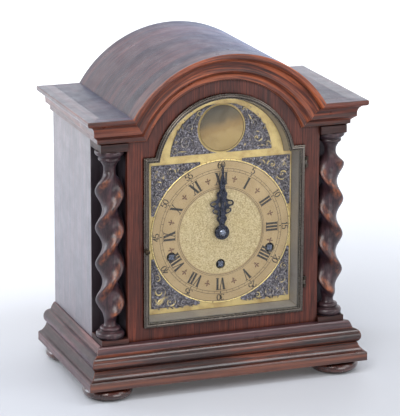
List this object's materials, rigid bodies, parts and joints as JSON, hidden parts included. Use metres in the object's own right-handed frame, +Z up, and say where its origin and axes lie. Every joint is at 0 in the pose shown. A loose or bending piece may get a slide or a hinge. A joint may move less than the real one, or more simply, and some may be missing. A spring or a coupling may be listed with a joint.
{
  "type": "table clock",
  "caption": "Break-arch table clock with twist columns, brass dial, hinged glazed bezel, rear door and a three-train striking movement on bun feet.",
  "frame": {"origin": "on the table under the middle of the plinth, which is also the middle of the object's bounding box", "axes": "+X to the viewer's right when facing the dial, +Y to the back, +Z up"},
  "size_m": [0.294, 0.175, 0.3394],
  "materials": {
    "turned_feet": "dark stained and polished",
    "carcass_wood": "dark stained",
    "dark_moulding": "dark stained and polished",
    "side_veneer": "vertical grain, satin polish",
    "front_veneer": "cross-banded veneer, polished",
    "twist_wood": "carved, polished, worn ridges",
    "warm_moulding": "polished",
    "roof_veneer": "satin polish",
    "back_wood": "plain, thinly stained",
    "hinge_brass": "aged",
    "bezel_bronze": "dark bronzed",
    "glass": "clear",
    "dial_brass": "polished",
    "ring_brass": "satin, numerals filled in black",
    "matt_gold": "fine matted",
    "cast_spandrel": "darkened casting with bright high points",
    "plate_brass": "brushed",
    "wheel_brass": "brushed",
    "train_steel": "machined",
    "blued_steel": "blued",
    "hammer_steel": "machined",
    "rod_bronze": "dark"
  },
  "bodies": {
    "case": {"bun_feet": "turned_feet", "base_board": "carcass_wood", "base_moulding_front": "dark_moulding", "base_moulding_sides": "dark_moulding", "pedestal_blocks": "dark_moulding", "side_panel_left": "side_veneer", "side_panel_right": "side_veneer", "front_panel": "front_veneer", "corner_posts": "carcass_wood", "column_left": "twist_wood", "column_right": "twist_wood", "frieze_blocks": "dark_moulding", "cornice_fronts": "warm_moulding", "cornice_sides": "warm_moulding", "arch_moulding": "warm_moulding", "shoulder_boards": "roof_veneer", "vault_roof": "roof_veneer", "back_frame": "back_wood", "rear_frame_leaves": "hinge_brass", "seat_board": "carcass_wood", "bezel_hinges": "bezel_bronze", "dial_plate": "dial_brass", "sight_surround": "bezel_bronze", "chapter_ring": "ring_brass", "dial_centre": "matt_gold", "corner_spandrels": "cast_spandrel", "arch_spandrels": "cast_spandrel", "arch_boss": "dial_brass", "front_plate": "plate_brass", "back_plate": "plate_brass", "ratchet_clicks": "train_steel", "balance_bridge": "plate_brass", "chime_rods": "rod_bronze"},
    "bezel_door": {"bezel_frame": "bezel_bronze", "door_glass": "glass"},
    "bezel_catch": {"bezel_knob": "bezel_bronze"},
    "back_door": {"rear_door": "back_wood", "rear_door_leaves": "hinge_brass"},
    "turn_button": {"rear_turn_button": "hinge_brass"},
    "centre": {"centre_arbor": "train_steel", "minute_hand": "blued_steel", "hand_nut": "blued_steel"},
    "hour": {"hour_wheel": "wheel_brass", "hour_hand": "blued_steel"},
    "motion": {"motion_wheel": "wheel_brass"},
    "third": {"third_wheel": "train_steel"},
    "escape": {"escape_wheel": "train_steel"},
    "balance": {"balance_wheel": "wheel_brass"},
    "time_drive": {"time_barrel": "wheel_brass"},
    "strike_drive": {"strike_barrel": "wheel_brass"},
    "chime_drive": {"chime_barrel": "wheel_brass"},
    "strike_pins": {"strike_pin_wheel": "wheel_brass"},
    "chime_pins": {"chime_drum": "wheel_brass"},
    "time_wind": {"time_winder": "train_steel"},
    "strike_wind": {"strike_winder": "train_steel"},
    "chime_wind": {"chime_winder": "train_steel"},
    "hammer_1": {"hammer_1": "hammer_steel"},
    "hammer_2": {"hammer_2": "hammer_steel"},
    "hammer_3": {"hammer_3": "hammer_steel"},
    "hammer_4": {"hammer_4": "hammer_steel"}
  },
  "joints": [
    {"name": "bezel_hinge", "type": "hinge", "parent": "case", "child": "bezel_door", "pos_m": [0.0857, -0.0654, 0.155], "axis": [0, 0, 1], "range_deg": [0, 110]},
    {"name": "bezel_catch_turn", "type": "hinge", "parent": "bezel_door", "child": "bezel_catch", "pos_m": [-0.0824, -0.066, 0.146], "axis": [0, 1, 0], "range_deg": [-90, 0]},
    {"name": "back_door_hinge", "type": "hinge", "parent": "case", "child": "back_door", "pos_m": [0.09, 0.0856, 0.155], "axis": [0, 0, -1], "range_deg": [0, 110]},
    {"name": "turn_button_turn", "type": "hinge", "parent": "case", "child": "turn_button", "pos_m": [-0.096, 0.084, 0.155], "axis": [0, 1, 0], "range_deg": [-90, 90]},
    {"name": "minute_turn", "type": "hinge", "parent": "case", "child": "centre", "pos_m": [0, 0, 0.155], "axis": [0, 1, 0], "continuous": true},
    {"name": "hour_turn", "type": "hinge", "parent": "case", "child": "hour", "pos_m": [0, 0, 0.155], "axis": [0, 1, 0], "continuous": true},
    {"name": "motion_turn", "type": "hinge", "parent": "case", "child": "motion", "pos_m": [0.01697, 0, 0.17197], "axis": [0, 1, 0], "continuous": true},
    {"name": "third_turn", "type": "hinge", "parent": "case", "child": "third", "pos_m": [0.012, 0, 0.17578], "axis": [0, 1, 0], "continuous": true},
    {"name": "escape_turn", "type": "hinge", "parent": "case", "child": "escape", "pos_m": [-0.00251, 0, 0.18557], "axis": [0, 1, 0], "continuous": true},
    {"name": "time_barrel_turn", "type": "hinge", "parent": "case", "child": "time_drive", "pos_m": [0, 0, 0.1214], "axis": [0, 1, 0], "continuous": true},
    {"name": "strike_barrel_turn", "type": "hinge", "parent": "case", "child": "strike_drive", "pos_m": [-0.052, 0, 0.1335], "axis": [0, 1, 0], "continuous": true},
    {"name": "strike_pins_turn", "type": "hinge", "parent": "case", "child": "strike_pins", "pos_m": [-0.04592, 0, 0.16797], "axis": [0, 1, 0], "continuous": true},
    {"name": "chime_barrel_turn", "type": "hinge", "parent": "case", "child": "chime_drive", "pos_m": [0.052, 0, 0.1335], "axis": [0, 1, 0], "continuous": true},
    {"name": "chime_pins_turn", "type": "hinge", "parent": "case", "child": "chime_pins", "pos_m": [0.04592, 0, 0.16797], "axis": [0, 1, 0], "continuous": true},
    {"name": "balance_swing", "type": "hinge", "parent": "case", "child": "balance", "pos_m": [-0.00251, 0, 0.20707], "axis": [0, 1, 0], "range_deg": [-135, 135], "stiffness_Nm_per_rad": 0.0000002},
    {"name": "time_winding", "type": "hinge", "parent": "case", "child": "time_wind", "pos_m": [0, 0, 0.1214], "axis": [0, 1, 0], "continuous": true},
    {"name": "strike_winding", "type": "hinge", "parent": "case", "child": "strike_wind", "pos_m": [-0.052, 0, 0.1335], "axis": [0, 1, 0], "continuous": true},
    {"name": "chime_winding", "type": "hinge", "parent": "case", "child": "chime_wind", "pos_m": [0.052, 0, 0.1335], "axis": [0, 1, 0], "continuous": true},
    {"name": "hammer_1_lift", "type": "hinge", "parent": "case", "child": "hammer_1", "pos_m": [0.03, 0.03, 0.101], "axis": [0, -1, 0], "range_deg": [0, 18]},
    {"name": "hammer_2_lift", "type": "hinge", "parent": "case", "child": "hammer_2", "pos_m": [0.03, 0.03, 0.101], "axis": [0, -1, 0], "range_deg": [0, 18]},
    {"name": "hammer_3_lift", "type": "hinge", "parent": "case", "child": "hammer_3", "pos_m": [0.03, 0.03, 0.101], "axis": [0, -1, 0], "range_deg": [0, 18]},
    {"name": "hammer_4_lift", "type": "hinge", "parent": "case", "child": "hammer_4", "pos_m": [0.03, 0.03, 0.101], "axis": [0, -1, 0], "range_deg": [0, 18]}
  ],
  "couplings": [
    {"joint": "hour_turn", "follows": "minute_turn", "ratio": 0.083333},
    {"joint": "motion_turn", "follows": "minute_turn", "ratio": -0.33333},
    {"joint": "third_turn", "follows": "minute_turn", "ratio": -4},
    {"joint": "escape_turn", "follows": "minute_turn", "ratio": 16},
    {"joint": "time_barrel_turn", "follows": "minute_turn", "ratio": -0.26667},
    {"joint": "strike_pins_turn", "follows": "strike_barrel_turn", "ratio": -2.1818},
    {"joint": "chime_pins_turn", "follows": "chime_barrel_turn", "ratio": -2.1818}
  ]
}
